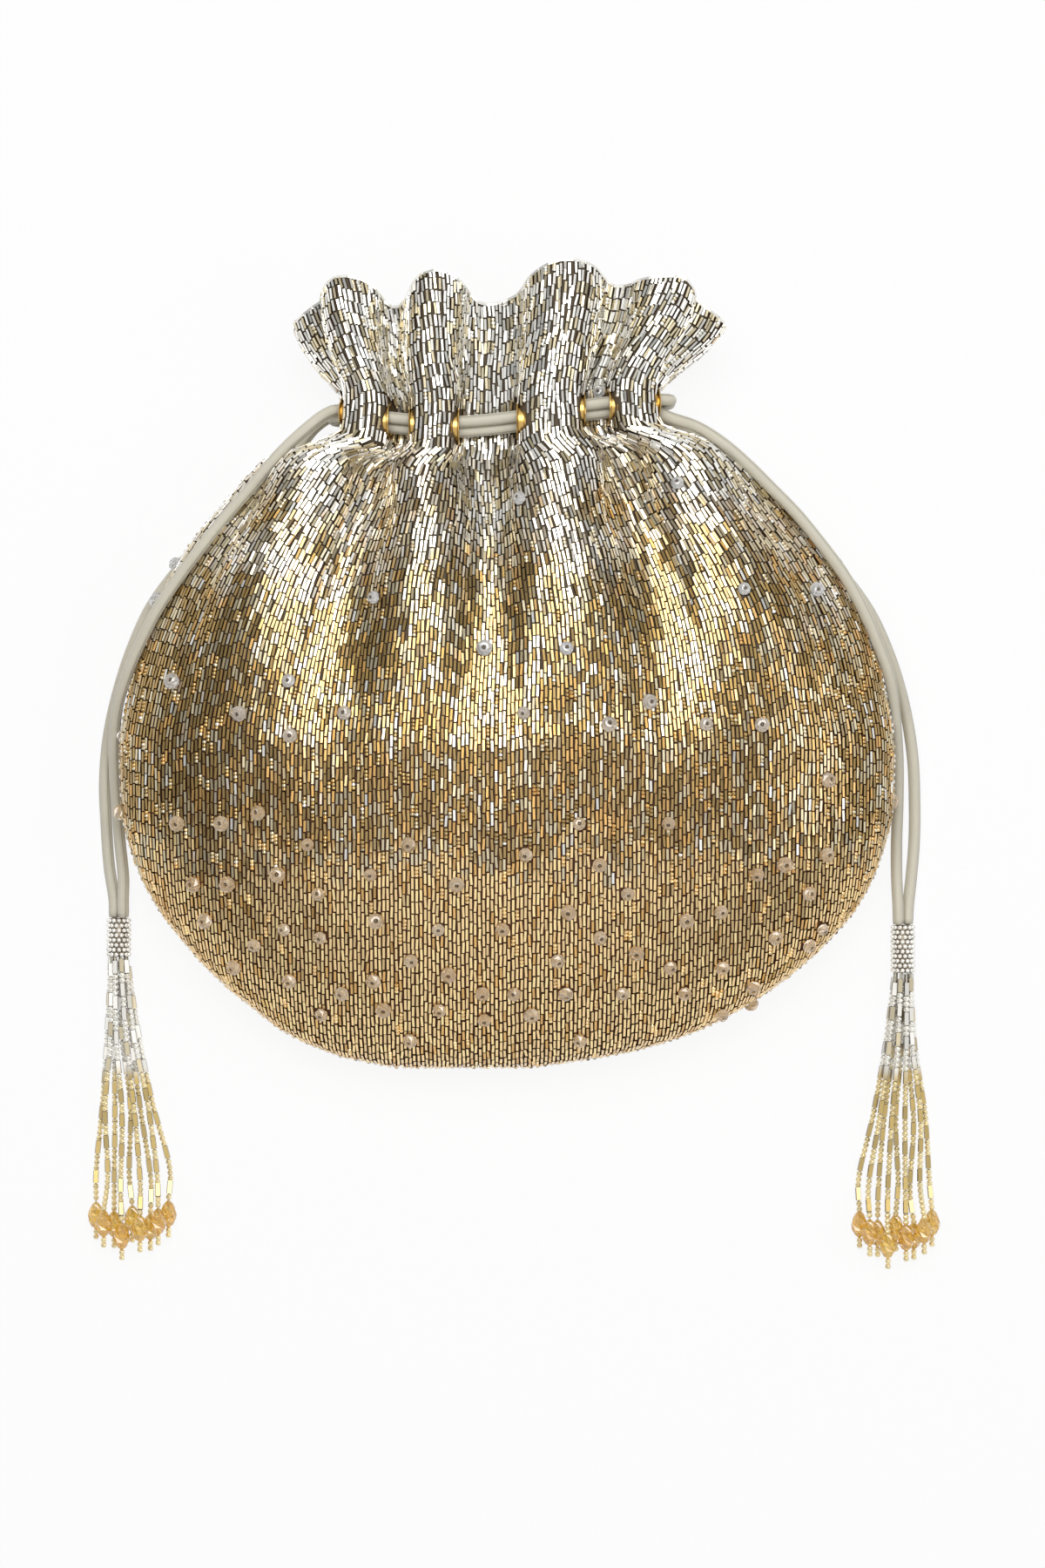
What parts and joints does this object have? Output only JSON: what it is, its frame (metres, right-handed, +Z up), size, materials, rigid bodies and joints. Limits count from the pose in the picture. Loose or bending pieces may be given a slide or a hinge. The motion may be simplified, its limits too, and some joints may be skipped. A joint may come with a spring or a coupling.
{
  "type": "potli bag",
  "caption": "Beaded drawstring potli pouch lying on its back: gathered ruffle mouth, silver to gold bugle beading, eyelets, satin drawstrings and bead tassels",
  "frame": {"origin": "on the floor under the middle of the pouch's bounding box, cords and tassels left out", "axes": "the pouch lies on its back; +Z is up, out of the beaded front; +Y runs to the mouth; +X is to the right as seen from above"},
  "size_m": [0.2472, 0.286, 0.0474],
  "materials": {
    "beaded_cloth": "bugle beads of silver-lined and gold-lined glass, silver at the mouth and gold at the bottom",
    "lining_satin": "satin",
    "cord_satin": "pale champagne satin",
    "eyelet_brass": "polished",
    "silver_beads": "silver-lined glass seed beads",
    "amber_glass": "silver and gold beads that end in faceted amber glass drops"
  },
  "bodies": {
    "root": {"front_panel": "beaded_cloth", "back_panel": "beaded_cloth", "lining": "lining_satin", "eyelet_front_1": "eyelet_brass", "eyelet_front_2": "eyelet_brass", "eyelet_front_3": "eyelet_brass", "eyelet_front_4": "eyelet_brass", "eyelet_front_5": "eyelet_brass", "eyelet_front_6": "eyelet_brass", "eyelet_front_7": "eyelet_brass", "eyelet_front_8": "eyelet_brass", "eyelet_back_1": "eyelet_brass", "eyelet_back_2": "eyelet_brass", "eyelet_back_3": "eyelet_brass", "eyelet_back_4": "eyelet_brass", "eyelet_back_5": "eyelet_brass", "eyelet_back_6": "eyelet_brass", "eyelet_back_7": "eyelet_brass", "eyelet_back_8": "eyelet_brass", "drawstring_left_held": "cord_satin", "drawstring_right_held": "cord_satin", "drawstring_left_front_tail": "cord_satin", "drawstring_left_back_tail": "cord_satin", "drawstring_right_front_tail": "cord_satin", "drawstring_right_back_tail": "cord_satin", "tassel_left_collar": "silver_beads", "tassel_right_collar": "silver_beads", "tassel_left_strand_1": "amber_glass", "tassel_left_strand_2": "amber_glass", "tassel_left_strand_3": "amber_glass", "tassel_left_strand_4": "amber_glass", "tassel_left_strand_5": "amber_glass", "tassel_left_strand_6": "amber_glass", "tassel_left_strand_7": "amber_glass", "tassel_left_strand_8": "amber_glass", "tassel_left_strand_9": "amber_glass", "tassel_right_strand_1": "amber_glass", "tassel_right_strand_2": "amber_glass", "tassel_right_strand_3": "amber_glass", "tassel_right_strand_4": "amber_glass", "tassel_right_strand_5": "amber_glass", "tassel_right_strand_6": "amber_glass", "tassel_right_strand_7": "amber_glass", "tassel_right_strand_8": "amber_glass", "tassel_right_strand_9": "amber_glass"}
  },
  "joints": []
}
